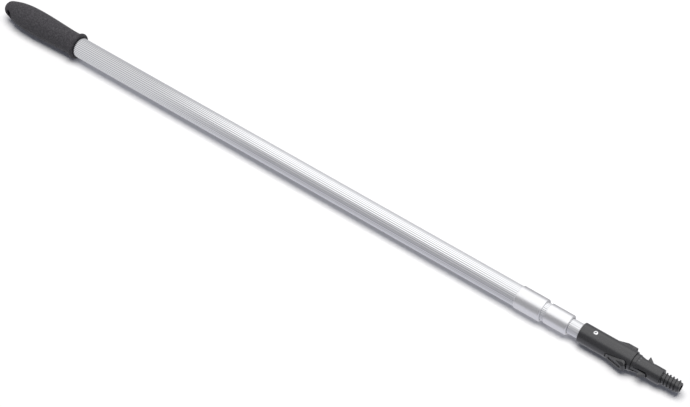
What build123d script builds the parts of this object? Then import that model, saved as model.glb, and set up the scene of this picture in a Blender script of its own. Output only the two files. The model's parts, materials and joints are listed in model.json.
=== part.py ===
"""Three-section telescopic pole with a clip-on tip for window cleaning squeegees.

The pole lies along X with its hanging end at -X and its threaded tip at +X.
The two squeeze levers of the tip lie in the horizontal plane, at +Y and -Y.
Stations are distances in millimetres along the pole from the butt of the grip.
"""

from build123d import *
import math
import os

os.makedirs("parts", exist_ok=True)

# ---------------------------------------------------------------- driving dimensions (mm)
TOTAL_LENGTH = 1258.0
LIP_RADIUS = 21.5            # the grip's front bead is the thickest place, and sets the axis height

GRIP_LENGTH = 157.5
GRIP_BEAD = 5.7              # length of the front bead
GRIP_BEAD_FOOT = 18.55       # radius where the bead meets the grip and the front face
GRIP_BORE_START = 32.0
GRIP_BORE_RADIUS = 16.05
GRIP_MOUTH_ROUND = 0.8
HANG_HOLE_STATION = 17.0
HANG_HOLE_RADIUS = 7.0
HANG_HOLE_ROUND = 1.2

OUTER_TUBE_RADIUS = 16.0
OUTER_TUBE_BORE = 14.7
OUTER_TUBE_START = 34.0
OUTER_TUBE_END = 1024.0
OUTER_FLUTES = 34
MIDDLE_TUBE_RADIUS = 14.0
MIDDLE_TUBE_BORE = 12.8
MIDDLE_TUBE_START = 103.0
MIDDLE_TUBE_END = 1067.5
MIDDLE_FLUTES = 30
INNER_TUBE_RADIUS = 11.25
INNER_TUBE_BORE = 10.05
INNER_TUBE_START = 208.0
INNER_TUBE_END = 1144.0
INNER_FLUTES = 24
FLUTE_DEPTH = 0.4

PLUG_BACK_GAP = 0.2          # butt plug: float behind its flange
PLUG_FLOOR = 1.5             # its floor, from the outer tube's back end
PLUG_REACH = 11.0
PLUG_WALL = 2.2

COLLAR_WALL = 1.3
COLLAR_LIP = 2.2             # radius of the rolled-in mouth
COLLAR_MOUTH = 1.4           # thickness of the mouth's ring
COLLAR_BEVEL = 0.5
COLLAR_MOUTH_GAP = 0.5       # radial gap between the mouth and the tube that slides in it
OUTER_COLLAR = (995.0, 1037.5)
MIDDLE_COLLAR = (1044.0, 1080.7)
BUSH_FLOAT = 0.10            # radial running clearance of a tube in its guide bush
STATIC_GAP = 0.05            # radial gap between pieces assembled with no motion

LOCK_FLANGE = 4.0            # plug flange behind the tube's end
LOCK_FLANGE_INSET = 1.0
LOCK_PLUG_REACH = 28.0       # how far the plug runs into the tube
LOCK_PLUG_FLOOR = 8.0
LOCK_PLUG_WALL = 2.5
LOCK_SPINDLE = 53.0          # spindle's length behind the tube's end
LOCK_SPINDLE_FLOAT = 0.1
LOCK_SCREW_RADIUS = 1.9
LOCK_SCREW_HOLE = 13.0
LOCK_SCREW_REACH = 12.0
LOCK_SCREW_HEAD = (4.0, 2.4)         # radius and height of the pan head
LOCK_SCREW_HEAD_ROUND = 1.4
LOCK_SCREW_CROSS = (4.0, 0.9, 1.2)   # length, width and depth of the cross recess
LOCK_WASHER_THICKNESS = 1.5
LOCK_WASHER_GAP = 0.2
LOCK_WASHER_INSET = 4.5      # washer's edge below the shoe's outside
LOCK_SHOE_LENGTH = 33.7
LOCK_SHOE_GAP = 0.3          # axial float between plug flange and shoe
LOCK_SHOE_BEVEL = 0.6
LOCK_SHOE_RING = 6.0         # unslotted ring at the shoe's front
LOCK_SHOE_SLOT_END = 10.0    # length left unslotted
LOCK_SLIDE_GAP = 0.25        # radial gap between a relaxed shoe and the bore it locks in
LOCK_KEY_WIDTH = 1.6
LOCK_KEY_LENGTH = 16.0
LOCK_KEY_INSET = 0.8
LOCK_KEY_SINK = 1.0          # the keys are buried this far in the cone
LOCK_SLOT_WIDTH = 2.4
LOCK_SLOTS = 4
CONE_BACK = -50.0            # places along the cone nut, from the tube's back end
CONE_SHOULDER = -46.0
CONE_FRONT = -28.0
CONE_INSET = 2.2             # cone's large end below the shoe's outside
CONE_DROP = 2.5              # taper from the large to the small end
CONE_GAP = 0.35

TIP_START = 1099.3
TIP_RIM = 1184.3
TIP_RADIUS = 15.0
TIP_BACK_ROUND = 1.0
TIP_RIM_ROUND = 0.8
TIP_SOCKET_GAP = 0.2
NECK_GROOVE = (1185.4, 12.2)         # front of the groove behind the neck ring, and its radius
NECK_RING = (1190.0, 13.2)           # front and radius of the neck ring
NECK_STEP = (1190.5, 12.5)
SPIGOT_START = 1197.0
SPIGOT_RADIUS = 11.6
SPIGOT_RELIEF = 0.3          # the spigot is this much smaller behind its front land
LAND_START = 1212.0
THREAD_START = 1228.5
THREAD_RADIUS = 9.525        # 3/4 inch, five threads per inch
THREAD_PITCH = 5.08
THREAD_DEPTH = 2.1
THREAD_FADE = 3.6            # length of the chamfer that ends the thread
THREAD_STOP = 1.0            # the thread ends this far from the free end
RIDGE_SINK = 0.4             # how far the ridge's foot is buried in the core
RIDGE_FOOT = 1.25            # half widths of the ridge
RIDGE_CREST = 0.65
EDGE_BREAK = 0.6
CORE_RADIUS = 4.8            # blind hole moulded into the threaded end
CORE_DEPTH = 14.0
CORE_CONE = 2.0

RIVET_STATION = 1120.5
RIVET_RADIUS = 2.4
RIVET_BORE = 1.4
RIVET_HEAD_RADIUS = 3.4
RIVET_HEAD_HEIGHT = 0.9
RIVET_HEAD_RIM = 0.2
RIVET_HEAD_CROWN = 1.9       # radius of the head's rounded outside
RIVET_EDGE = 0.3
RIVET_SEAT_GAP = 0.15
RIVET_SEAT_DEPTH = 0.4

POCKET_BACK = 1145.5         # teardrop openings for the levers
POCKET_FRONT = 1180.5
POCKET_BACK_HALF = 4.4
POCKET_FRONT_HALF = 10.0
POCKET_BACK_ROUND = 2.4
POCKET_FRONT_ROUND = 6.0
WEB_FRONT = 1176.5
CHANNEL_END = 1211.0
CHANNEL_FLARE = 6.0          # length of the wider end of the channel
CHANNEL_HALF = 3.5
CHANNEL_END_HALF = 4.8
CHANNEL_END_ROUND = 4.0
CHANNEL_REACH = 12.35        # inner face of the rim that the lever arms pass under
WEB_HALF = 2.5               # half thickness of the web between the two levers
WEB_SEAT = 1.5
LEVER_SEAT = 9.4
LEVER_PIN_STATION = 1150.0
LEVER_PIN_OFFSET = 9.6
LEVER_PIN_RADIUS = 1.25
LEVER_PIN_TOP = 8.0
LEVER_PIN_BOTTOM = 11.3
LEVER_PIN_SHORT = 0.1        # the pins stop short of their blind holes' ends
LEVER_BORE_GAP = 0.06
PIN_HOLE_GAP = 0.02
STOP_PIN_STATION = 1192.3
STOP_PIN_OFFSET = 2.6
STOP_PIN_RADIUS = 0.8
STOP_PIN_HALF = 11.9
SPRING_STATION = 1166.5
SPRING_RADIUS = 2.5
SPRING_WIRE = 0.35
SPRING_TURNS = 4
SPRING_SEAT_RADIUS = 3.3

PAD_GAP = 0.6                # clearance of the lever along the sides of its opening
PAD_FRONT_GAP = 1.0          # the pad's front edge swings forward a little as it is squeezed
PAD_FRONT = POCKET_FRONT - PAD_FRONT_GAP
PAD_INSIDE = 8.4
PAD_HEEL = 3.2               # radius of the lever round its pin
PAD_LOW = (1148.0, 15.0)     # where the thumb ramp leaves the tip body's surface
PAD_HIGH = (1174.5, 20.2)    # highest point of the thumb ramp
PAD_NOSE = (1178.3, 18.9)
PAD_NOSE_FOOT = 14.8
PAD_RIDGE_HALF = 3.3         # half width of the ramp's top
PAD_SHOULDER = 13.4          # where the pad's sides start to lean in towards the ramp
PAD_BACK = 3.4               # the pad reaches this far behind its pin
PAD_BACK_OUTSIDE = 14.4
PAD_BACK_CORNER = (3.0, 1.2)         # bevel of the heel's back corner
PAD_HEEL_RUN = 4.7           # length over which the heel runs into the inner face
PAD_ROOF = (17.6, 7.4)       # a point on the rounded side of the ramp
PAD_ROOF_GAP = 0.2
ARM_HALF = 2.5
ARM_INSIDE = 9.0
ARM_OUTSIDE = 12.0
ARM_FRONT_OUTSIDE = 11.0
ARM_ROOT = 4.0               # overlap of the arm with the pad, behind the web's front
ARM_TAPER = (1186.3, 1195.3)         # where the arm's outside face slopes in
ARM_INSIDE_TAPER = (1192.2, 1197.2)
BARB_STATION = 1199.2
BARB_END = 1208.8
BARB_REACH = 18.6
BARB_INSIDE = 7.8
BARB_HALF = 2.8
BARB_UNDERCUT = 0.3          # the back face leans back this far
BARB_LAND = 0.5
BARB_TOE = 11.4              # height of the wedge's front edge
BARB_ROOT = 1.0
RECESS_LENGTH = 23.0         # oval thumb recess along the ramp
RECESS_WIDTH = 4.6
RECESS_DEPTH = 1.0
RECESS_FORWARD = 1.0         # the recess sits this far ahead of the ramp's middle
RECESS_RIBS = 6
RIB_PITCH = 2.6
RIB_WIDTH = 0.9
RIB_DROP = 0.3               # the ribs stand this far below the ramp

# ---------------------------------------------------------------- planes and axes
AXIS_START = (-TOTAL_LENGTH / 2, 0, LIP_RADIUS)
POLE_AXIS = Axis(AXIS_START, (1, 0, 0))
SIDE = Plane(origin=AXIS_START, x_dir=(1, 0, 0), z_dir=(0, -1, 0))   # local x = station, y = up
PLAN = Plane(origin=AXIS_START, x_dir=(1, 0, 0), z_dir=(0, 0, 1))    # local x = station, y = +Y


def section(station):
    """Plane across the pole at a station: local x = +Y, local y = up, normal = +X."""
    return Plane(origin=(AXIS_START[0] + station, 0, LIP_RADIUS), x_dir=(0, 1, 0), z_dir=(1, 0, 0))


def turned(*corners):
    """Solid of revolution about the pole's axis, from (station, radius) corners."""
    with BuildPart() as piece:
        with BuildSketch(SIDE):
            with BuildLine():
                Polyline(*corners, close=True)
            make_face()
        revolve(axis=POLE_AXIS)
    return piece


def save(piece, name):
    """Label a finished piece and write its STEP file."""
    piece.part.label = name
    export_step(piece.part, f"parts/{name}.step")


# ---------------------------------------------------------------- hand grip
BEAD_START = GRIP_LENGTH - GRIP_BEAD
with BuildPart() as grip:
    with BuildSketch(SIDE):
        with BuildLine():
            ThreePointArc((0, 0), (3.81, 9.19), (9, 12.37))
            Spline((9, 12.37), (24, 16.7), (45, 19.8), (68, 20.5), (103, 19.5), (133, 18.2),
                   (BEAD_START, GRIP_BEAD_FOOT), tangents=[(12.37, 4), (1, 0.05)])
            ThreePointArc((BEAD_START, GRIP_BEAD_FOOT), (GRIP_LENGTH - GRIP_BEAD / 2, LIP_RADIUS),
                          (GRIP_LENGTH, GRIP_BEAD_FOOT))
            Line((GRIP_LENGTH, GRIP_BEAD_FOOT), (GRIP_LENGTH, GRIP_BORE_RADIUS + GRIP_MOUTH_ROUND))
            RadiusArc((GRIP_LENGTH, GRIP_BORE_RADIUS + GRIP_MOUTH_ROUND),
                      (GRIP_LENGTH - GRIP_MOUTH_ROUND, GRIP_BORE_RADIUS), -GRIP_MOUTH_ROUND)
            Polyline((GRIP_LENGTH - GRIP_MOUTH_ROUND, GRIP_BORE_RADIUS),
                     (GRIP_BORE_START, GRIP_BORE_RADIUS), (GRIP_BORE_START, 0), (0, 0))
        make_face()
    revolve(axis=POLE_AXIS)
    with BuildSketch(SIDE):
        with Locations((HANG_HOLE_STATION, 0)):
            Circle(HANG_HOLE_RADIUS)
    extrude(amount=LIP_RADIUS, both=True, mode=Mode.SUBTRACT)
    hole_x = AXIS_START[0] + HANG_HOLE_STATION
    hole_edges = grip.edges().filter_by_position(Axis.X, hole_x - HANG_HOLE_RADIUS * 1.3,
                                                 hole_x + HANG_HOLE_RADIUS * 1.3)
    fillet(hole_edges.filter_by(GeomType.CIRCLE, reverse=True), radius=HANG_HOLE_ROUND)
save(grip, "grip")


# ---------------------------------------------------------------- fluted tubes
def fluted_tube(start, end, radius, bore, flutes):
    """Drawn tube with shallow lengthwise flutes all round its outside."""
    shape = ((0.0, radius), (0.42, radius), (0.54, radius - FLUTE_DEPTH), (0.88, radius - FLUTE_DEPTH))
    corners = []
    for flute in range(flutes):
        for share, reach in shape:
            angle = 2 * math.pi * (flute + share) / flutes
            corners.append((reach * math.cos(angle), reach * math.sin(angle)))
    with BuildPart() as piece:
        with BuildSketch(section(start)):
            with BuildLine():
                Polyline(*corners, close=True)
            make_face()
            Circle(bore, mode=Mode.SUBTRACT)
        extrude(amount=end - start)
    return piece


outer_tube = fluted_tube(OUTER_TUBE_START, OUTER_TUBE_END, OUTER_TUBE_RADIUS, OUTER_TUBE_BORE,
                         OUTER_FLUTES)
save(outer_tube, "outer_tube")

middle_tube = fluted_tube(MIDDLE_TUBE_START, MIDDLE_TUBE_END, MIDDLE_TUBE_RADIUS, MIDDLE_TUBE_BORE,
                          MIDDLE_FLUTES)
save(middle_tube, "middle_tube")

inner_tube = fluted_tube(INNER_TUBE_START, INNER_TUBE_END, INNER_TUBE_RADIUS, INNER_TUBE_BORE,
                         INNER_FLUTES)
with BuildPart() as inner_tube_drilled:
    add(inner_tube.part)
    with BuildSketch(PLAN):
        with Locations((RIVET_STATION, 0)):
            Circle(RIVET_RADIUS + STATIC_GAP)
    extrude(amount=TIP_RADIUS, both=True, mode=Mode.SUBTRACT)
save(inner_tube_drilled, "inner_tube")

# Cup that closes the outer tube's back end, inside the grip.
plug_back = GRIP_BORE_START + PLUG_BACK_GAP
plug_floor = OUTER_TUBE_START + PLUG_FLOOR
plug_end = OUTER_TUBE_START + PLUG_REACH
plug_flange = OUTER_TUBE_RADIUS - FLUTE_DEPTH
plug_side = OUTER_TUBE_BORE - STATIC_GAP
plug_inside = plug_side - PLUG_WALL
butt_plug = turned(
    (plug_back, 0), (plug_back, plug_flange), (OUTER_TUBE_START, plug_flange), (OUTER_TUBE_START, plug_side),
    (plug_end, plug_side), (plug_end, plug_inside), (plug_floor, plug_inside), (plug_floor, 0))
save(butt_plug, "butt_plug")


# ---------------------------------------------------------------- collars and guide bushes
def tube_collar(span, tube_radius, sliding_radius):
    """Pressed ferrule over a tube's end, with its front edge rolled in over the guide bush."""
    start, end = span
    inside = tube_radius + STATIC_GAP
    outside = inside + COLLAR_WALL
    mouth = sliding_radius + COLLAR_MOUTH_GAP
    mouth_back = end - COLLAR_MOUTH
    with BuildPart() as piece:
        with BuildSketch(SIDE):
            with BuildLine():
                Polyline((end - COLLAR_LIP, outside), (start + COLLAR_BEVEL, outside),
                         (start, outside - COLLAR_BEVEL), (start, inside), (mouth_back, inside),
                         (mouth_back, mouth), (end, mouth), (end, outside - COLLAR_LIP))
                RadiusArc((end, outside - COLLAR_LIP), (end - COLLAR_LIP, outside), -COLLAR_LIP)
            make_face()
        revolve(axis=POLE_AXIS)
    return piece


outer_collar = tube_collar(OUTER_COLLAR, OUTER_TUBE_RADIUS, MIDDLE_TUBE_RADIUS)
save(outer_collar, "outer_collar")
middle_collar = tube_collar(MIDDLE_COLLAR, MIDDLE_TUBE_RADIUS, INNER_TUBE_RADIUS)
save(middle_collar, "middle_collar")


def guide_bush(tube_end, collar_end, outside, sliding_radius):
    """Plain plastic ring between a tube's end and its collar's mouth, where the next tube slides."""
    back = tube_end + STATIC_GAP
    front = collar_end - COLLAR_MOUTH - STATIC_GAP
    bore = sliding_radius + BUSH_FLOAT
    return turned((back, bore), (back, outside), (front, outside), (front, bore))


outer_bush = guide_bush(OUTER_TUBE_END, OUTER_COLLAR[1], OUTER_TUBE_RADIUS, MIDDLE_TUBE_RADIUS)
save(outer_bush, "outer_bush")
middle_bush = guide_bush(MIDDLE_TUBE_END, MIDDLE_COLLAR[1], MIDDLE_TUBE_RADIUS, INNER_TUBE_RADIUS)
save(middle_bush, "middle_bush")


# ---------------------------------------------------------------- twist locks
def lock_plug(tube_start, tube_radius, tube_bore, spindle_radius):
    """Plug pressed into a tube's back end, with the spindle that carries the lock."""
    flange_back = tube_start - LOCK_FLANGE
    flange_radius = tube_radius - LOCK_FLANGE_INSET
    spindle_end = tube_start - LOCK_SPINDLE
    side = tube_bore - STATIC_GAP
    inside = tube_bore - LOCK_PLUG_WALL
    front = tube_start + LOCK_PLUG_REACH
    floor = tube_start + LOCK_PLUG_FLOOR
    with BuildPart() as piece:
        with BuildSketch(SIDE):
            with BuildLine():
                Polyline((spindle_end, 0), (spindle_end, spindle_radius), (flange_back, spindle_radius),
                         (flange_back, flange_radius), (tube_start, flange_radius), (tube_start, side),
                         (front, side), (front, inside), (floor, inside), (floor, 0), close=True)
            make_face()
        revolve(axis=POLE_AXIS)
        with BuildSketch(section(spindle_end)):
            Circle(LOCK_SCREW_RADIUS + STATIC_GAP)
        extrude(amount=LOCK_SCREW_HOLE, mode=Mode.SUBTRACT)
    return piece


def cone_nut(tube_start, shoe_radius, spindle_radius):
    """Tapered nut on the spindle, with keys that run in the shoe's slots and stop it turning."""
    large = shoe_radius - CONE_INSET
    small = large - CONE_DROP
    bore = spindle_radius + LOCK_SPINDLE_FLOAT
    key_top = shoe_radius - LOCK_KEY_INSET
    key_foot = small - LOCK_KEY_SINK
    with BuildPart() as piece:
        with BuildSketch(SIDE):
            with BuildLine():
                Polyline((tube_start + CONE_BACK, bore), (tube_start + CONE_BACK, large),
                         (tube_start + CONE_SHOULDER, large), (tube_start + CONE_FRONT, small),
                         (tube_start + CONE_FRONT, bore), close=True)
            make_face()
        revolve(axis=POLE_AXIS)
        with BuildSketch(section(tube_start + CONE_SHOULDER)):
            with PolarLocations((key_top + key_foot) / 2, LOCK_SLOTS):
                Rectangle(key_top - key_foot, LOCK_KEY_WIDTH)
        extrude(amount=LOCK_KEY_LENGTH)
    return piece


def lock_shoe(tube_start, shoe_radius, spindle_radius):
    """Slotted collet that the cone nut spreads against the bore of the next larger tube."""
    front = tube_start - LOCK_FLANGE - LOCK_SHOE_GAP
    back = front - LOCK_SHOE_LENGTH
    slope = CONE_DROP / (CONE_FRONT - CONE_SHOULDER)
    large = shoe_radius - CONE_INSET + CONE_GAP
    throat = large - CONE_DROP
    mouth = large - slope * (back - tube_start - CONE_SHOULDER)
    ring_back = front - LOCK_SHOE_RING
    bore = spindle_radius + LOCK_SPINDLE_FLOAT
    with BuildPart() as piece:
        with BuildSketch(SIDE):
            with BuildLine():
                Polyline((back, mouth), (back, shoe_radius - LOCK_SHOE_BEVEL),
                         (back + LOCK_SHOE_BEVEL, shoe_radius), (front - LOCK_SHOE_BEVEL, shoe_radius),
                         (front, shoe_radius - LOCK_SHOE_BEVEL), (front, bore), (ring_back, bore),
                         (ring_back, throat), (tube_start + CONE_FRONT, throat), close=True)
            make_face()
        revolve(axis=POLE_AXIS)
        with BuildSketch(section(back)):
            with PolarLocations(shoe_radius, LOCK_SLOTS):
                Rectangle(2 * (shoe_radius - throat + 1.0), LOCK_SLOT_WIDTH)
        extrude(amount=LOCK_SHOE_LENGTH - LOCK_SHOE_SLOT_END, mode=Mode.SUBTRACT)
    return piece


def lock_washer(tube_start, radius):
    """Washer on the spindle's end that keeps the nut from running off."""
    front = tube_start - LOCK_SPINDLE - STATIC_GAP
    back = front - LOCK_WASHER_THICKNESS
    bore = LOCK_SCREW_RADIUS + LOCK_WASHER_GAP
    return turned((back, bore), (back, radius), (front, radius), (front, bore))


def lock_screw(tube_start):
    """Pan-head screw with a cross recess that holds the washer on the spindle."""
    seat = tube_start - LOCK_SPINDLE - LOCK_WASHER_THICKNESS - 2 * STATIC_GAP
    head_radius, head_height = LOCK_SCREW_HEAD
    top = seat - head_height
    cross_length, cross_width, cross_depth = LOCK_SCREW_CROSS
    tip = seat + LOCK_SCREW_REACH
    with BuildPart() as piece:
        with BuildSketch(SIDE):
            with BuildLine():
                Polyline((top, head_radius - LOCK_SCREW_HEAD_ROUND), (top, 0), (tip, 0),
                         (tip, LOCK_SCREW_RADIUS), (seat, LOCK_SCREW_RADIUS), (seat, head_radius),
                         (top + LOCK_SCREW_HEAD_ROUND, head_radius))
                RadiusArc((top + LOCK_SCREW_HEAD_ROUND, head_radius),
                          (top, head_radius - LOCK_SCREW_HEAD_ROUND), LOCK_SCREW_HEAD_ROUND)
            make_face()
        revolve(axis=POLE_AXIS)
        with BuildSketch(section(top)):
            Rectangle(cross_length, cross_width)
            Rectangle(cross_width, cross_length)
        extrude(amount=cross_depth, mode=Mode.SUBTRACT)
    return piece


LOCKS = {
    "middle": (MIDDLE_TUBE_START, MIDDLE_TUBE_RADIUS, MIDDLE_TUBE_BORE, OUTER_TUBE_BORE, 4.0),
    "inner": (INNER_TUBE_START, INNER_TUBE_RADIUS, INNER_TUBE_BORE, MIDDLE_TUBE_BORE, 3.5),
}
for owner, (tube_start, tube_radius, tube_bore, locked_bore, spindle_radius) in LOCKS.items():
    shoe_radius = locked_bore - LOCK_SLIDE_GAP
    save(lock_plug(tube_start, tube_radius, tube_bore, spindle_radius), f"{owner}_lock_plug")
    save(cone_nut(tube_start, shoe_radius, spindle_radius), f"{owner}_cone_nut")
    save(lock_shoe(tube_start, shoe_radius, spindle_radius), f"{owner}_lock_shoe")
    save(lock_washer(tube_start, shoe_radius - LOCK_WASHER_INSET), f"{owner}_lock_washer")
    save(lock_screw(tube_start), f"{owner}_lock_screw")


# ---------------------------------------------------------------- tip body
def pocket_corners(inset, front_inset):
    """Side view of a lever's opening, or with clearance insets, of the lever that fills it."""
    back = POCKET_BACK + inset
    front = POCKET_FRONT - front_inset
    low = POCKET_BACK_HALF - inset
    high = POCKET_FRONT_HALF - inset
    return [(back, -low), (back, low), (front, high), (front, -high)]


root_radius = THREAD_RADIUS - THREAD_DEPTH
helix_start = (AXIS_START[0] + THREAD_START - THREAD_PITCH, 0, LIP_RADIUS)
with BuildPart() as thread_ridge:
    with BuildLine() as thread_line:
        Helix(THREAD_PITCH, TOTAL_LENGTH - THREAD_START + THREAD_PITCH, root_radius,
              center=helix_start, direction=(1, 0, 0))
    first_point = thread_line.line @ 0
    outward = (first_point - Vector(*helix_start)).normalized()
    with BuildSketch(Plane(origin=first_point, x_dir=(1, 0, 0), z_dir=Vector(1, 0, 0).cross(outward))):
        with BuildLine():
            Polyline((-RIDGE_FOOT, -RIDGE_SINK), (-RIDGE_CREST, THREAD_DEPTH),
                     (RIDGE_CREST, THREAD_DEPTH), (RIDGE_FOOT, -RIDGE_SINK), close=True)
        make_face()
    sweep(path=thread_line.line, is_frenet=True)
    # a chamfer ends the ridge just short of the free end
    fade_outside = THREAD_RADIUS + EDGE_BREAK
    fade_inside = root_radius - EDGE_BREAK
    fade_end = TOTAL_LENGTH - THREAD_STOP
    with BuildSketch(SIDE):
        with BuildLine():
            Polyline((fade_end - THREAD_FADE, fade_outside), (fade_end, fade_inside),
                     (TOTAL_LENGTH + THREAD_PITCH, fade_inside), (TOTAL_LENGTH + THREAD_PITCH, fade_outside),
                     close=True)
        make_face()
    revolve(axis=POLE_AXIS, mode=Mode.SUBTRACT)

with BuildPart() as tip_body:
    socket_end = INNER_TUBE_END + TIP_SOCKET_GAP
    socket_radius = INNER_TUBE_RADIUS + STATIC_GAP
    relief_radius = SPIGOT_RADIUS - SPIGOT_RELIEF
    core_end = TOTAL_LENGTH - CORE_DEPTH
    with BuildSketch(SIDE):
        with BuildLine():
            Polyline((socket_end, 0), (socket_end, socket_radius), (TIP_START, socket_radius),
                     (TIP_START, TIP_RADIUS - TIP_BACK_ROUND))
            RadiusArc((TIP_START, TIP_RADIUS - TIP_BACK_ROUND), (TIP_START + TIP_BACK_ROUND, TIP_RADIUS),
                      TIP_BACK_ROUND)
            Line((TIP_START + TIP_BACK_ROUND, TIP_RADIUS), (TIP_RIM - TIP_RIM_ROUND, TIP_RADIUS))
            RadiusArc((TIP_RIM - TIP_RIM_ROUND, TIP_RADIUS), (TIP_RIM, TIP_RADIUS - TIP_RIM_ROUND),
                      TIP_RIM_ROUND)
            Polyline((TIP_RIM, TIP_RADIUS - TIP_RIM_ROUND), (TIP_RIM, NECK_GROOVE[1]), NECK_GROOVE,
                     (NECK_GROOVE[0], NECK_RING[1]), NECK_RING, NECK_STEP, (SPIGOT_START, relief_radius),
                     (LAND_START, relief_radius), (LAND_START, SPIGOT_RADIUS),
                     (THREAD_START - EDGE_BREAK, SPIGOT_RADIUS), (THREAD_START, SPIGOT_RADIUS - EDGE_BREAK),
                     (THREAD_START, root_radius), (TOTAL_LENGTH - EDGE_BREAK, root_radius),
                     (TOTAL_LENGTH, root_radius - EDGE_BREAK), (TOTAL_LENGTH, CORE_RADIUS),
                     (core_end, CORE_RADIUS), (core_end - CORE_CONE, 0), (socket_end, 0))
        make_face()
    revolve(axis=POLE_AXIS)
    add(thread_ridge.part)
    # one teardrop opening right across for the levers, then the web between them
    with BuildSketch(SIDE) as opening:
        with BuildLine():
            Polyline(*pocket_corners(0, 0), close=True)
        make_face()
        fillet(opening.vertices().group_by(Axis.X)[-1], radius=POCKET_FRONT_ROUND)
        fillet(opening.vertices().group_by(Axis.X)[0], radius=POCKET_BACK_ROUND)
    extrude(amount=TIP_RADIUS, both=True, mode=Mode.SUBTRACT)
    with BuildSketch(SIDE):
        with Locations(((POCKET_BACK - 1 + WEB_FRONT) / 2, 0)):
            Rectangle(WEB_FRONT - POCKET_BACK + 1, 2 * POCKET_FRONT_HALF + 2)
    extrude(amount=WEB_HALF, both=True)
    # channel for both lever arms, under the rim and then open along the spigot
    with BuildSketch(SIDE):
        with Locations(((WEB_FRONT + TIP_RIM) / 2, 0)):
            Rectangle(TIP_RIM - WEB_FRONT, 2 * CHANNEL_HALF)
    extrude(amount=CHANNEL_REACH, both=True, mode=Mode.SUBTRACT)
    with BuildSketch(SIDE) as channel:
        with BuildLine():
            Polyline((TIP_RIM, -CHANNEL_HALF), (TIP_RIM, CHANNEL_HALF),
                     (CHANNEL_END - CHANNEL_FLARE, CHANNEL_END_HALF), (CHANNEL_END, CHANNEL_END_HALF),
                     (CHANNEL_END, -CHANNEL_END_HALF), (CHANNEL_END - CHANNEL_FLARE, -CHANNEL_END_HALF),
                     close=True)
        make_face()
        fillet(channel.vertices().group_by(Axis.X)[-1], radius=CHANNEL_END_ROUND)
    extrude(amount=TIP_RADIUS, both=True, mode=Mode.SUBTRACT)
    # rivet hole, with a small flat seat for each rivet head
    with BuildSketch(PLAN):
        with Locations((RIVET_STATION, 0)):
            Circle(RIVET_RADIUS + STATIC_GAP)
    extrude(amount=TIP_RADIUS, both=True, mode=Mode.SUBTRACT)
    for side in (1, -1):
        with BuildSketch(PLAN.offset(side * (TIP_RADIUS - RIVET_SEAT_DEPTH))):
            with Locations((RIVET_STATION, 0)):
                Circle(RIVET_HEAD_RADIUS + RIVET_SEAT_GAP)
        extrude(amount=side * 2 * RIVET_SEAT_DEPTH, mode=Mode.SUBTRACT)
    # lever pin holes, drilled from below and blind at the top
    with BuildSketch(PLAN.offset(-TIP_RADIUS)):
        with Locations((LEVER_PIN_STATION, LEVER_PIN_OFFSET), (LEVER_PIN_STATION, -LEVER_PIN_OFFSET)):
            Circle(LEVER_PIN_RADIUS + PIN_HOLE_GAP)
    extrude(amount=TIP_RADIUS + LEVER_PIN_TOP, mode=Mode.SUBTRACT)
    # stop pin holes across the neck
    with BuildSketch(PLAN):
        with Locations((STOP_PIN_STATION, STOP_PIN_OFFSET), (STOP_PIN_STATION, -STOP_PIN_OFFSET)):
            Circle(STOP_PIN_RADIUS + PIN_HOLE_GAP)
    extrude(amount=TIP_RADIUS, both=True, mode=Mode.SUBTRACT)
    # spring seats in the web
    for side in (1, -1):
        with BuildSketch(SIDE.offset(side * WEB_SEAT)):
            with Locations((SPRING_STATION, 0)):
                Circle(SPRING_SEAT_RADIUS)
        extrude(amount=side * WEB_HALF, mode=Mode.SUBTRACT)
save(tip_body, "tip_body")

rivet_axis = Axis((AXIS_START[0] + RIVET_STATION, 0, LIP_RADIUS), (0, 0, 1))
rivet_seat = TIP_RADIUS - RIVET_SEAT_DEPTH + PIN_HOLE_GAP
rivet_top = rivet_seat + RIVET_HEAD_HEIGHT
rivet_bore_wall = RIVET_STATION + RIVET_BORE
rivet_edge = RIVET_STATION + RIVET_HEAD_RADIUS
with BuildPart() as tip_rivet:
    with BuildSketch(SIDE):
        with BuildLine():
            Polyline((rivet_bore_wall + RIVET_EDGE, rivet_top), (rivet_bore_wall, rivet_top - RIVET_EDGE),
                     (rivet_bore_wall, 0), (RIVET_STATION + RIVET_RADIUS, 0),
                     (RIVET_STATION + RIVET_RADIUS, rivet_seat), (rivet_edge, rivet_seat),
                     (rivet_edge, rivet_seat + RIVET_HEAD_RIM))
            RadiusArc((rivet_edge, rivet_seat + RIVET_HEAD_RIM), (rivet_bore_wall + RIVET_EDGE, rivet_top),
                      -RIVET_HEAD_CROWN)
        make_face()
    revolve(axis=rivet_axis)
    mirror(about=PLAN)
save(tip_rivet, "tip_rivet")

with BuildPart() as stop_pins:
    with BuildSketch(PLAN):
        with Locations((STOP_PIN_STATION, STOP_PIN_OFFSET), (STOP_PIN_STATION, -STOP_PIN_OFFSET)):
            Circle(STOP_PIN_RADIUS)
    extrude(amount=STOP_PIN_HALF, both=True)
save(stop_pins, "stop_pins")

with BuildPart() as lever_pins:
    with BuildSketch(PLAN.offset(-LEVER_PIN_BOTTOM)):
        with Locations((LEVER_PIN_STATION, LEVER_PIN_OFFSET), (LEVER_PIN_STATION, -LEVER_PIN_OFFSET)):
            Circle(LEVER_PIN_RADIUS)
    extrude(amount=LEVER_PIN_BOTTOM + LEVER_PIN_TOP - LEVER_PIN_SHORT)
save(lever_pins, "lever_pins")


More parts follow.
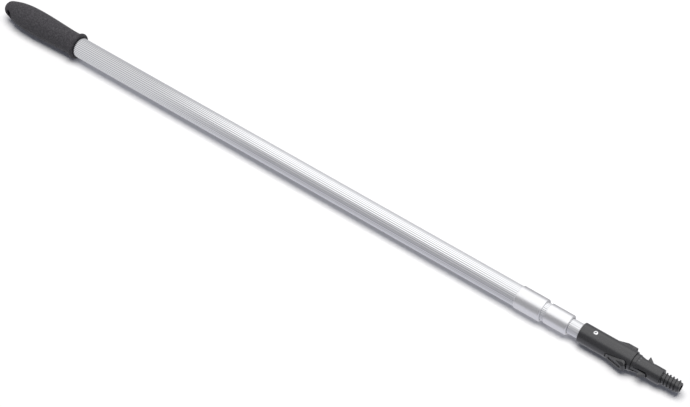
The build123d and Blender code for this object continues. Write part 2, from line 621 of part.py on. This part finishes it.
# ---------------------------------------------------------------- squeeze levers
ramp_run = Vector(PAD_HIGH[0] - PAD_LOW[0], PAD_HIGH[1] - PAD_LOW[1], 0)
ramp_slope = ramp_run.Y / ramp_run.X
ramp_station = (PAD_LOW[0] + PAD_HIGH[0]) / 2 + RECESS_FORWARD
ramp_height = PAD_LOW[1] + (ramp_station - PAD_LOW[0]) * ramp_slope
ramp_middle = (AXIS_START[0] + ramp_station, ramp_height, LIP_RADIUS)
RAMP = Plane(origin=ramp_middle, x_dir=ramp_run, z_dir=(-ramp_run.Y, ramp_run.X, 0))
heel_inside = LEVER_PIN_OFFSET - PAD_HEEL
pad_back = LEVER_PIN_STATION - PAD_BACK
arm_start = WEB_FRONT - ARM_ROOT
barb_front = BARB_STATION + BARB_ROOT

with BuildPart() as left_lever:
    # teardrop pad: side view, then plan view, then a roof that narrows it towards the thumb
    with BuildSketch(SIDE) as pad_side:
        with BuildLine():
            Polyline(*pocket_corners(PAD_GAP, PAD_FRONT_GAP), close=True)
        make_face()
        fillet(pad_side.vertices().group_by(Axis.X)[-1], radius=POCKET_FRONT_ROUND)
        fillet(pad_side.vertices().group_by(Axis.X)[0], radius=POCKET_BACK_ROUND - PAD_GAP)
    extrude(amount=-LIP_RADIUS)
    with BuildSketch(PLAN):
        with BuildLine():
            Line((LEVER_PIN_STATION, heel_inside), (LEVER_PIN_STATION + PAD_HEEL_RUN, PAD_INSIDE))
            Line((LEVER_PIN_STATION + PAD_HEEL_RUN, PAD_INSIDE), (PAD_FRONT, PAD_INSIDE))
            Line((PAD_FRONT, PAD_INSIDE), (PAD_FRONT, PAD_NOSE_FOOT))
            ThreePointArc((PAD_FRONT, PAD_NOSE_FOOT), PAD_NOSE, PAD_HIGH)
            Polyline(PAD_HIGH, PAD_LOW, (pad_back, PAD_BACK_OUTSIDE), (pad_back, LEVER_PIN_OFFSET),
                     (LEVER_PIN_STATION - PAD_BACK_CORNER[0], heel_inside + PAD_BACK_CORNER[1]),
                     (LEVER_PIN_STATION, heel_inside))
        make_face()
    extrude(amount=LIP_RADIUS, both=True, mode=Mode.INTERSECT)
    roof = PAD_HIGH[1] + PAD_ROOF_GAP
    with BuildSketch(section(POCKET_BACK)):
        with BuildLine():
            Polyline((PAD_SHOULDER, -POCKET_FRONT_HALF), (0, -POCKET_FRONT_HALF), (0, POCKET_FRONT_HALF),
                     (PAD_SHOULDER, POCKET_FRONT_HALF))
            ThreePointArc((PAD_SHOULDER, POCKET_FRONT_HALF), PAD_ROOF, (roof, PAD_RIDGE_HALF))
            Line((roof, PAD_RIDGE_HALF), (roof, -PAD_RIDGE_HALF))
            ThreePointArc((roof, -PAD_RIDGE_HALF), (PAD_ROOF[0], -PAD_ROOF[1]),
                          (PAD_SHOULDER, -POCKET_FRONT_HALF))
        make_face()
    extrude(amount=POCKET_FRONT - POCKET_BACK, mode=Mode.INTERSECT)
    # arm under the rim and out along the spigot, ending in the barb
    with BuildSketch(PLAN):
        with BuildLine():
            Polyline((arm_start, ARM_INSIDE), (arm_start, ARM_OUTSIDE), (ARM_TAPER[0], ARM_OUTSIDE),
                     (ARM_TAPER[1], ARM_FRONT_OUTSIDE), (barb_front, ARM_FRONT_OUTSIDE),
                     (barb_front, BARB_INSIDE), (ARM_INSIDE_TAPER[1], BARB_INSIDE),
                     (ARM_INSIDE_TAPER[0], ARM_INSIDE), close=True)
        make_face()
    extrude(amount=ARM_HALF, both=True)
    with BuildSketch(PLAN):
        with BuildLine():
            Polyline((BARB_STATION, ARM_FRONT_OUTSIDE), (BARB_STATION - BARB_UNDERCUT, BARB_REACH),
                     (BARB_STATION + BARB_LAND, BARB_REACH), (BARB_END, BARB_TOE),
                     (BARB_END, BARB_INSIDE), (BARB_STATION, BARB_INSIDE), close=True)
        make_face()
    extrude(amount=BARB_HALF, both=True)
    # pin bore and spring seat
    with BuildSketch(PLAN):
        with Locations((LEVER_PIN_STATION, LEVER_PIN_OFFSET)):
            Circle(LEVER_PIN_RADIUS + LEVER_BORE_GAP)
    extrude(amount=POCKET_FRONT_HALF, both=True, mode=Mode.SUBTRACT)
    with BuildSketch(SIDE.offset(-LEVER_SEAT)):
        with Locations((SPRING_STATION, 0)):
            Circle(SPRING_SEAT_RADIUS)
    extrude(amount=LEVER_SEAT - WEB_HALF, mode=Mode.SUBTRACT)
    # oval thumb recess with low cross ribs left standing in it
    with BuildSketch(RAMP):
        SlotOverall(RECESS_LENGTH, RECESS_WIDTH)
        with GridLocations(RIB_PITCH, 0, RECESS_RIBS, 1):
            Rectangle(RIB_WIDTH, RECESS_WIDTH, mode=Mode.SUBTRACT)
    extrude(amount=-RECESS_DEPTH, mode=Mode.SUBTRACT)
    with BuildSketch(RAMP.offset(-RIB_DROP)):
        SlotOverall(RECESS_LENGTH, RECESS_WIDTH)
    extrude(amount=RECESS_DEPTH, mode=Mode.SUBTRACT)
save(left_lever, "left_lever")

with BuildPart() as right_lever:
    mirror(left_lever.part, about=Plane.XZ)
save(right_lever, "right_lever")


# ---------------------------------------------------------------- lever springs
for name, side in (("left_lever_spring", 1), ("right_lever_spring", -1)):
    seat = WEB_SEAT + SPRING_WIRE + STATIC_GAP
    length = LEVER_SEAT - WEB_SEAT - 2 * (SPRING_WIRE + STATIC_GAP)
    start = (AXIS_START[0] + SPRING_STATION, side * seat, LIP_RADIUS)
    with BuildPart() as spring:
        with BuildLine() as spring_line:
            Helix(length / SPRING_TURNS, length, SPRING_RADIUS, center=start, direction=(0, side, 0))
        with BuildSketch(Plane(origin=spring_line.line @ 0, z_dir=spring_line.line % 0)):
            Circle(SPRING_WIRE)
        sweep(path=spring_line.line, is_frenet=True)
    save(spring, name)
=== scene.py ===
import json
import math

import bmesh
import bpy
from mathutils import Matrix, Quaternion, Vector


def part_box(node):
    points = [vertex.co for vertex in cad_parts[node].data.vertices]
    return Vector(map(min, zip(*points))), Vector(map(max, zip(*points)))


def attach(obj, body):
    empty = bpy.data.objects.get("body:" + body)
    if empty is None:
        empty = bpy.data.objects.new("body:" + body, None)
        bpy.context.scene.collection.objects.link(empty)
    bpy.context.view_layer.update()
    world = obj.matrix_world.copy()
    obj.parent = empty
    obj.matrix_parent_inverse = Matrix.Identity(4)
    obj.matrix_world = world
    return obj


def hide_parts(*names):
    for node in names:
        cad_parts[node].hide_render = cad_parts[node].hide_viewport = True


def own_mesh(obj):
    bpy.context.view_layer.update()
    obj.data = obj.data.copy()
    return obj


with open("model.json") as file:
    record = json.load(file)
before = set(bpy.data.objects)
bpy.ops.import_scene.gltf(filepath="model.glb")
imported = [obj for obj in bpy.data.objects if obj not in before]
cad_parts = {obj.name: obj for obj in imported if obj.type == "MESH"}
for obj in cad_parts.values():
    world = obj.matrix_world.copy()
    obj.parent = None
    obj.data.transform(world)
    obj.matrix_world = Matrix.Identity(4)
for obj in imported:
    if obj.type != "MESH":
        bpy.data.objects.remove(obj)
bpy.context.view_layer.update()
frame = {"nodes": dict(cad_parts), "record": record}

# ---------------------------------------------------------------- places read from the frame
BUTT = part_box("grip")[0].x
TUBE_LOW, TUBE_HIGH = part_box("outer_tube")
AXIS = Vector((0, 0, (TUBE_LOW.z + TUBE_HIGH.z) / 2))
MM = 0.001


def station(distance):
    """X of a distance in millimetres from the butt."""
    return BUTT + distance * MM


# ---------------------------------------------------------------- camera
SCENE = bpy.context.scene
SCENE.view_settings.view_transform = "Standard"
VIEW_BACK = Vector((0.409, -0.533, 0.741)).normalized()      # from the aim point towards the camera
VIEW_DISTANCE = 2.937
AIM_STATION = 690.3
AIM_DROP = Vector((0, 0.81, 0.58)) * 7.6 * MM                 # the aim point lies just below the axis
LENS = 104.35
SENSOR_WIDTH = 36.0
FAR_CLIP = 200
ROLL = 0.0006                # radians about the line of sight

aim = Vector((station(AIM_STATION), 0, AXIS.z)) - AIM_DROP
camera_data = bpy.data.cameras.new("camera")
camera_data.lens = LENS
camera_data.sensor_width = SENSOR_WIDTH
camera_data.clip_end = FAR_CLIP
camera = bpy.data.objects.new("camera", camera_data)
camera.location = aim + VIEW_BACK * VIEW_DISTANCE
camera.rotation_mode = "QUATERNION"
camera.rotation_quaternion = (-VIEW_BACK).to_track_quat("-Z", "Y") @ Quaternion((0, 0, 1), ROLL)
SCENE.collection.objects.link(camera)
SCENE.camera = camera


# ---------------------------------------------------------------- node helpers
class Nodes:
    """Short names for building a node tree."""

    def __init__(self, tree):
        self.tree = tree

    def add(self, kind, **settings):
        node = self.tree.nodes.new(kind)
        for key, value in settings.items():
            setattr(node, key, value)
        return node

    def link(self, out, into):
        self.tree.links.new(out, into)

    def mapping(self, source, scale):
        node = self.add("ShaderNodeMapping")
        node.inputs["Scale"].default_value = scale
        self.link(source, node.inputs["Vector"])
        return node.outputs["Vector"]

    def noise(self, vector, scale, detail=3.0, roughness=0.5):
        node = self.add("ShaderNodeTexNoise")
        node.inputs["Scale"].default_value = scale
        node.inputs["Detail"].default_value = detail
        node.inputs["Roughness"].default_value = roughness
        self.link(vector, node.inputs["Vector"])
        return node.outputs["Fac"]

    def voronoi(self, vector, scale):
        node = self.add("ShaderNodeTexVoronoi")
        node.inputs["Scale"].default_value = scale
        self.link(vector, node.inputs["Vector"])
        return node.outputs["Distance"]

    def ramp(self, value, *stops):
        """Colour ramp from (position, colour) stops, a colour being a grey or an (r, g, b)."""
        node = self.add("ShaderNodeValToRGB")
        elements = node.color_ramp.elements
        while len(elements) > 1:
            elements.remove(elements[-1])
        for index, (position, colour) in enumerate(stops):
            element = elements[0] if index == 0 else elements.new(position)
            element.position = position
            rgb = (colour,) * 3 if isinstance(colour, (int, float)) else colour
            element.color = (*rgb, 1)
        self.link(value, node.inputs["Fac"])
        return node.outputs["Color"]

    def span(self, value, low, high):
        """Value 0..1 stretched to low..high."""
        node = self.add("ShaderNodeMapRange")
        node.inputs["To Min"].default_value = low
        node.inputs["To Max"].default_value = high
        self.link(value, node.inputs["Value"])
        return node.outputs["Result"]

    def maths(self, operation, *values):
        node = self.add("ShaderNodeMath", operation=operation)
        for socket, value in zip(node.inputs, values):
            if isinstance(value, (int, float)):
                socket.default_value = value
            else:
                self.link(value, socket)
        return node.outputs["Value"]

    def mix(self, share, first, second):
        node = self.add("ShaderNodeMix", data_type="RGBA")
        sockets = [s for s in node.inputs if s.enabled]
        for socket, value in zip(sockets, (share, first, second)):
            if isinstance(value, (int, float)):
                socket.default_value = value
            elif isinstance(value, tuple):
                socket.default_value = (*value, 1)
            else:
                self.link(value, socket)
        return [s for s in node.outputs if s.enabled][0]

    def bump(self, height, strength, distance):
        node = self.add("ShaderNodeBump")
        node.inputs["Strength"].default_value = strength
        node.inputs["Distance"].default_value = distance
        self.link(height, node.inputs["Height"])
        return node.outputs["Normal"]


def material(name, metallic=0.0):
    """New material: returns it, its node helper, its shader and its object coordinates."""
    made = bpy.data.materials.new(name)
    made.use_nodes = True
    nodes = Nodes(made.node_tree)
    shader = made.node_tree.nodes["Principled BSDF"]
    shader.inputs["Metallic"].default_value = metallic
    place = nodes.add("ShaderNodeTexCoord").outputs["Object"]
    return made, nodes, shader, place


ALUMINIUM = (0.89, 0.895, 0.91)
TUBE_ROUGHNESS = 0.05
GROOVE_PAINTED_SHADE = 0.60           # painted shade: share of the metal's colour left in the grooves, drawing the flutes' dark lines


def shaded(tone, share):
    """A colour times a share."""
    return tuple(share * part for part in tone)


def drawn_aluminium(name, tone, rough, flutes=0, groove_share=0.0):
    """Metal drawn lengthwise: fine streaks along X, and painted shade lines in the grooves of a fluted
    tube.
    """
    made, n, shader, place = material(name, 1.0)
    streaks = n.noise(n.mapping(place, (3, 900, 900)), scale=1.0, detail=4.0, roughness=0.6)
    clouds = n.noise(place, scale=14.0)
    tint = n.mix(n.span(streaks, 0.0, 0.5), tone, shaded(tone, 0.90))
    tint = n.mix(n.span(clouds, 0.0, 0.25), tint, shaded(tone, 0.94))
    if flutes:
        parts = n.add("ShaderNodeSeparateXYZ")
        n.link(place, parts.inputs["Vector"])
        turn = n.maths("ARCTAN2", n.maths("SUBTRACT", parts.outputs["Z"], AXIS.z), parts.outputs["Y"])
        wave = n.maths("SUBTRACT", n.maths("MULTIPLY", turn, flutes), 2 * math.pi * groove_share)
        # painted shade: the colour darkens towards the middle of each groove
        groove = n.ramp(n.maths("COSINE", wave), (0.0, 0.0), (0.9, 1.0))
        tint = n.mix(groove, tint, shaded(tone, GROOVE_PAINTED_SHADE))
    n.link(tint, shader.inputs["Base Color"])
    n.link(n.span(streaks, rough - 0.04, rough + 0.05), shader.inputs["Roughness"])
    n.link(n.bump(streaks, strength=0.05, distance=0.04 * MM), shader.inputs["Normal"])
    return made


def satin_metal(name, tone, rough, grain):
    """Turned or tumbled metal: fine rings round X over a soft mottle."""
    made, n, shader, place = material(name, 1.0)
    rings = n.noise(n.mapping(place, (grain, grain / 30, grain / 30)), scale=1.0, detail=4.0, roughness=0.6)
    clouds = n.noise(place, scale=60.0, detail=4.0)
    n.link(n.mix(n.span(clouds, 0.0, 0.5), tone, shaded(tone, 0.88)), shader.inputs["Base Color"])
    n.link(n.span(rings, rough - 0.07, rough + 0.09), shader.inputs["Roughness"])
    n.link(n.bump(rings, strength=0.15, distance=0.03 * MM), shader.inputs["Normal"])
    return made


def moulded_plastic(name, tone, rough, shine=0.5):
    """Spark-eroded moulded plastic: fine even grain, faint mottle."""
    made, n, shader, place = material(name)
    fine = n.noise(place, scale=2600.0, roughness=0.6)
    clouds = n.noise(place, scale=55.0, detail=4.0)
    n.link(n.mix(clouds, tone, shaded(tone, 1.35)), shader.inputs["Base Color"])
    wear = n.noise(place, scale=220.0, detail=4.0)
    n.link(n.span(wear, rough - 0.07, rough + 0.08), shader.inputs["Roughness"])
    shader.inputs["Specular IOR Level"].default_value = shine
    n.link(n.bump(fine, strength=0.25, distance=0.03 * MM), shader.inputs["Normal"])
    return made


def grip_rubber(name):
    """Foamed rubber: small pebbles with pale flecks between them."""
    made, n, shader, place = material(name)
    pebbles = n.voronoi(place, scale=430.0)
    fine = n.noise(place, scale=1700.0, roughness=0.6)
    flecks = n.ramp(n.noise(place, scale=420.0, detail=4.0, roughness=0.7), (0.42, 0.0), (0.66, 1.0))
    base = n.mix(flecks, (0.036, 0.034, 0.038), (0.080, 0.077, 0.083))
    n.link(base, shader.inputs["Base Color"])
    n.link(n.span(fine, 0.62, 0.85), shader.inputs["Roughness"])
    height = n.maths("ADD", n.span(pebbles, 1.0, 0.0), n.span(fine, 0.0, 0.5))
    n.link(n.bump(height, strength=0.8, distance=0.35 * MM), shader.inputs["Normal"])
    shader.inputs["Specular IOR Level"].default_value = 0.35
    return made


SLOT_MATERIALS = {
    "grip_rubber": grip_rubber("grip_rubber"),
    "tube_aluminium": drawn_aluminium("tube_aluminium", ALUMINIUM, TUBE_ROUGHNESS),
    "collar_aluminium": satin_metal("collar_aluminium", (0.87, 0.87, 0.88), 0.34, 5200.0),
    "bush_plastic": moulded_plastic("bush_plastic", (0.03, 0.03, 0.032), 0.45),
    "inner_plastic": moulded_plastic("inner_plastic", (0.30, 0.30, 0.31), 0.42),
    "shoe_plastic": moulded_plastic("shoe_plastic", (0.62, 0.60, 0.55), 0.40),
    "tip_plastic": moulded_plastic("tip_plastic", (0.013, 0.013, 0.0145), 0.28, shine=0.95),
    "lever_plastic": moulded_plastic("lever_plastic", (0.014, 0.014, 0.0155), 0.27, shine=0.95),
    "rivet_aluminium": satin_metal("rivet_aluminium", (0.92, 0.92, 0.92), 0.16, 2400.0),
    "steel": satin_metal("steel", (0.66, 0.66, 0.67), 0.24, 3600.0),
    "spring_steel": satin_metal("spring_steel", (0.55, 0.56, 0.58), 0.26, 3000.0),
}


STOP_PIN_STEEL = satin_metal("stop_pin_steel", (0.22, 0.22, 0.23), 0.30, 3600.0)     # darkened


def finish_piece(piece, slot_name):
    """Gives a piece the procedural material of its slot."""
    piece.data.materials.clear()
    piece.data.materials.append(SLOT_MATERIALS[slot_name])


# ---------------------------------------------------------------- stage
FLOOR_HALF = 40.0
FLOOR_SLOPE = 0.00457        # the pole rests on the grip's bead and on the outer collar
BEAD_STATION = 154.65
FLOOR_TONES = ((0.90, 0.90, 0.905), (0.915, 0.915, 0.92))


def stage_floor():
    """Plain white table top, tilted a little so that the pole rests on it."""
    bead_x = station(BEAD_STATION)
    corners = []
    for x, y in ((-1, -1), (1, -1), (1, 1), (-1, 1)):
        corners.append((x * FLOOR_HALF, y * FLOOR_HALF, (x * FLOOR_HALF - bead_x) * FLOOR_SLOPE))
    mesh = bpy.data.meshes.new("floor")
    mesh.from_pydata(corners, [], [(0, 1, 2, 3)])
    floor = bpy.data.objects.new("floor", mesh)
    floor.visible_glossy = False
    SCENE.collection.objects.link(floor)
    made, n, shader, place = material("floor_white")
    n.link(n.mix(n.noise(place, scale=3.0), *FLOOR_TONES), shader.inputs["Base Color"])
    shader.inputs["Roughness"].default_value = 0.7
    shader.inputs["Specular IOR Level"].default_value = 0.0
    floor.data.materials.append(made)


stage_floor()

KEY_ELEVATION = 88.5         # degrees from level behind the pole: almost straight overhead
KEY_DISTANCE = 8.0
KEY_SIZE = (7.0, 5.0)
KEY_POWER = 728.0            # watts
KEY_COLOUR = (1.0, 0.985, 0.955)


def key_light():
    """Large softbox overhead: it lights the table and puts the pole's shadow close under it."""
    data = bpy.data.lights.new("key", "AREA")
    data.shape = "RECTANGLE"
    data.size, data.size_y = KEY_SIZE
    data.energy = KEY_POWER
    data.color = KEY_COLOUR
    light = bpy.data.objects.new("key", data)
    lift = math.radians(KEY_ELEVATION)
    light.location = (0, KEY_DISTANCE * math.cos(lift), KEY_DISTANCE * math.sin(lift))
    light.rotation_mode = "QUATERNION"
    light.rotation_quaternion = (-light.location).to_track_quat("-Z", "Y")
    light.visible_camera = False
    light.visible_glossy = False
    SCENE.collection.objects.link(light)


key_light()

AMBIENT = (0.18, 0.19, 0.23)
LAVENDER = (0.70, 0.70, 0.76)
DARK = (0.30, 0.30, 0.315)
PALE = (1.32, 1.32, 1.33)
# what the polished parts mirror, by the direction's turn about the pole in degrees:
# 0 level towards the camera's side, 90 straight up, 180 level behind, -90 straight down
ROOM = ((-180, (0.42, 0.42, 0.44)), (-150, (0.46, 0.46, 0.48)), (-115, (0.60, 0.60, 0.63)),
        (-90, LAVENDER), (-22, LAVENDER), (-8, DARK), (36, DARK), (50, (0.46, 0.46, 0.48)),
        (58, PALE), (146, PALE), (166, (0.66, 0.66, 0.68)), (180, (0.42, 0.42, 0.44)))
ROOM_END = ((-180, (0.50, 0.50, 0.52)), (-150, (0.73, 0.73, 0.76)), (50, (0.73, 0.73, 0.75)),
            (90, (0.77, 0.77, 0.78)), (135, (0.78, 0.78, 0.79)), (162, (0.60, 0.60, 0.62)),
            (180, (0.50, 0.50, 0.52)))
ROOM_END_SPAN = (-0.508, -0.455)     # X of the directions over which the end of the room begins


def turn_stops(room):
    """A room's stops with their degrees as shares of a whole turn."""
    return [(degrees / 360 + 0.5, colour) for degrees, colour in room]


def studio_world():
    """White surroundings for the camera, soft fill for the table, and a room to be mirrored."""
    world = bpy.data.worlds.new("studio")
    world.use_nodes = True
    world.cycles.sampling_method = "NONE"
    SCENE.world = world
    n = Nodes(world.node_tree)
    parts = n.add("ShaderNodeSeparateXYZ")
    n.link(n.add("ShaderNodeTexCoord").outputs["Generated"], parts.inputs["Vector"])
    turn = n.maths("ARCTAN2", parts.outputs["Z"], n.maths("MULTIPLY", parts.outputs["Y"], -1.0))
    share = n.maths("ADD", n.maths("DIVIDE", turn, 2 * math.pi), 0.5)
    room = n.ramp(share, *turn_stops(ROOM))
    room_end = n.ramp(share, *turn_stops(ROOM_END))
    reach = n.add("ShaderNodeMapRange")
    reach.inputs["From Min"].default_value, reach.inputs["From Max"].default_value = ROOM_END_SPAN
    n.link(parts.outputs["X"], reach.inputs["Value"])
    mirrored = n.mix(reach.outputs["Result"], room_end, room)
    rays = n.add("ShaderNodeLightPath")
    fill = n.mix(rays.outputs["Is Glossy Ray"], AMBIENT, mirrored)
    background = world.node_tree.nodes["Background"]
    n.link(n.mix(rays.outputs["Is Camera Ray"], fill, (1.0, 1.0, 1.0)), background.inputs["Color"])


studio_world()


# ---------------------------------------------------------------- meshes
def join_rings(mesh, first, second):
    """Faces between two rings that have the same number of points."""
    count = len(first)
    for index in range(count):
        after = (index + 1) % count
        mesh.faces.new((first[index], second[index], second[after], first[after]))


def smooth_piece(name, mesh, sharp_degrees):
    """Turns a finished mesh into an object, smooth but for edges sharper than an angle."""
    bmesh.ops.recalc_face_normals(mesh, faces=mesh.faces)
    data = bpy.data.meshes.new(name)
    mesh.to_mesh(data)
    mesh.free()
    for polygon in data.polygons:
        polygon.use_smooth = True
    data.set_sharp_from_angle(angle=math.radians(sharp_degrees))
    piece = bpy.data.objects.new(name, data)
    SCENE.collection.objects.link(piece)
    return piece


# ---------------------------------------------------------------- fluted tubes
FLUTE_POINTS = 12            # points round the tube in each flute's pitch
FLUTE_PHASE = 0.54           # turn of the flutes, as a share of their pitch
FLUTE_CREST = 0.42           # share of the pitch that is crest; the rest is groove
FLUTE_DEPTH = 0.38 * MM
TUBE_CHAMFER = 0.25 * MM
TUBE_PARTS = 16              # rows of faces along a tube
TUBE_SHARP = 50              # degrees
TUBES = {                    # body, bore radius and number of flutes
    "outer_tube": ("outer_section", 14.7 * MM, 34),
    "middle_tube": ("middle_section", 12.8 * MM, 30),
    "inner_tube": ("inner_section", 10.05 * MM, 24),
}


def flute_reach(share, radius):
    """Radius of the flute's profile at a share of its pitch."""
    if share <= FLUTE_CREST:
        return radius
    groove = (share - FLUTE_CREST) / (1 - FLUTE_CREST)
    return radius - FLUTE_DEPTH * 0.5 * (1 - math.cos(2 * math.pi * groove))


def tube_ring(mesh, x, flutes, reach_at):
    """Ring of points round the axis; reach_at gives the radius at a share of a flute's pitch."""
    ring = []
    for index in range(flutes * FLUTE_POINTS):
        flute, step = divmod(index, FLUTE_POINTS)
        share = step / FLUTE_POINTS
        angle = 2 * math.pi * (flute + share + FLUTE_PHASE) / flutes
        reach = reach_at(share)
        ring.append(mesh.verts.new((x, reach * math.cos(angle), AXIS.z + reach * math.sin(angle))))
    return ring


def fluted_tube(name, body, bore, flutes):
    """Tube with lengthwise flutes outside, a plain bore and chamfered ends."""
    low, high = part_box(name)
    radius = (high.y - low.y) / 2

    def outside(share):
        return flute_reach(share, radius)

    def chamfered(share):
        return flute_reach(share, radius) - TUBE_CHAMFER

    def inside(share):
        return bore

    sections = [(low.x, inside), (low.x, chamfered), (low.x + TUBE_CHAMFER, outside)]
    for step in range(1, TUBE_PARTS):
        sections.append((low.x + (high.x - low.x) * step / TUBE_PARTS, outside))
    sections += [(high.x - TUBE_CHAMFER, outside), (high.x, chamfered), (high.x, inside)]
    mesh = bmesh.new()
    rings = [tube_ring(mesh, x, flutes, reach_at) for x, reach_at in sections]
    for first, second in zip(rings, rings[1:] + rings[:1]):
        join_rings(mesh, first, second)
    piece = smooth_piece(name + "_drawn", mesh, TUBE_SHARP)
    groove_share = FLUTE_PHASE + (1 + FLUTE_CREST) / 2
    metal = drawn_aluminium(name + "_metal", ALUMINIUM, TUBE_ROUGHNESS, flutes, groove_share)
    piece.data.materials.append(metal)
    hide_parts(name)
    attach(piece, body)


for tube, (tube_body, tube_bore, tube_flutes) in TUBES.items():
    fluted_tube(tube, tube_body, tube_bore, tube_flutes)


# ---------------------------------------------------------------- lever springs
SPRING_TURNS = 4
SPRING_WIRE = 0.35 * MM      # radius of the wire
SPRING_SHARP = 60            # degrees
TURN_STEPS = 24              # rings in one turn of the coil
WIRE_POINTS = 10             # points round the wire


def lever_spring(name, side):
    """Coil spring along Y between the web and a lever, built at one fixed length; the real spring shortens
    as the lever is squeezed.
    """
    low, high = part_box(name)
    centre = (low + high) / 2
    coil = (high.x - low.x) / 2 - SPRING_WIRE
    foot = min(abs(low.y), abs(high.y))
    length = high.y - low.y - 2 * SPRING_WIRE
    advance = side * length / (2 * math.pi * SPRING_TURNS)
    mesh = bmesh.new()
    rings = []
    steps = SPRING_TURNS * TURN_STEPS
    for step in range(steps + 1):
        angle = 2 * math.pi * step / TURN_STEPS
        outward = Vector((math.cos(angle), 0, math.sin(angle)))
        along = Vector((-coil * math.sin(angle), advance, coil * math.cos(angle))).normalized()
        across = along.cross(outward)
        middle = Vector((centre.x, side * (foot + SPRING_WIRE + length * step / steps), centre.z))
        ring = []
        for index in range(WIRE_POINTS):
            turn = 2 * math.pi * index / WIRE_POINTS
            offset = outward * math.cos(turn) + across * math.sin(turn)
            ring.append(mesh.verts.new(middle + outward * coil + offset * SPRING_WIRE))
        rings.append(ring)
    for first, second in zip(rings, rings[1:]):
        join_rings(mesh, first, second)
    mesh.faces.new(rings[0])
    mesh.faces.new(reversed(rings[-1]))
    piece = smooth_piece(name + "_coil", mesh, SPRING_SHARP)
    finish_piece(piece, "spring_steel")
    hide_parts(name)
    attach(piece, "inner_section")
    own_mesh(piece)


lever_spring("left_lever_spring", 1)
lever_spring("right_lever_spring", -1)


# ---------------------------------------------------------------- materials of the carried-over nodes
for row in frame["record"]["subparts"]:
    finish_piece(frame["nodes"][row["node"]], row["material_slot"])
frame["nodes"]["stop_pins"].data.materials[0] = STOP_PIN_STEEL
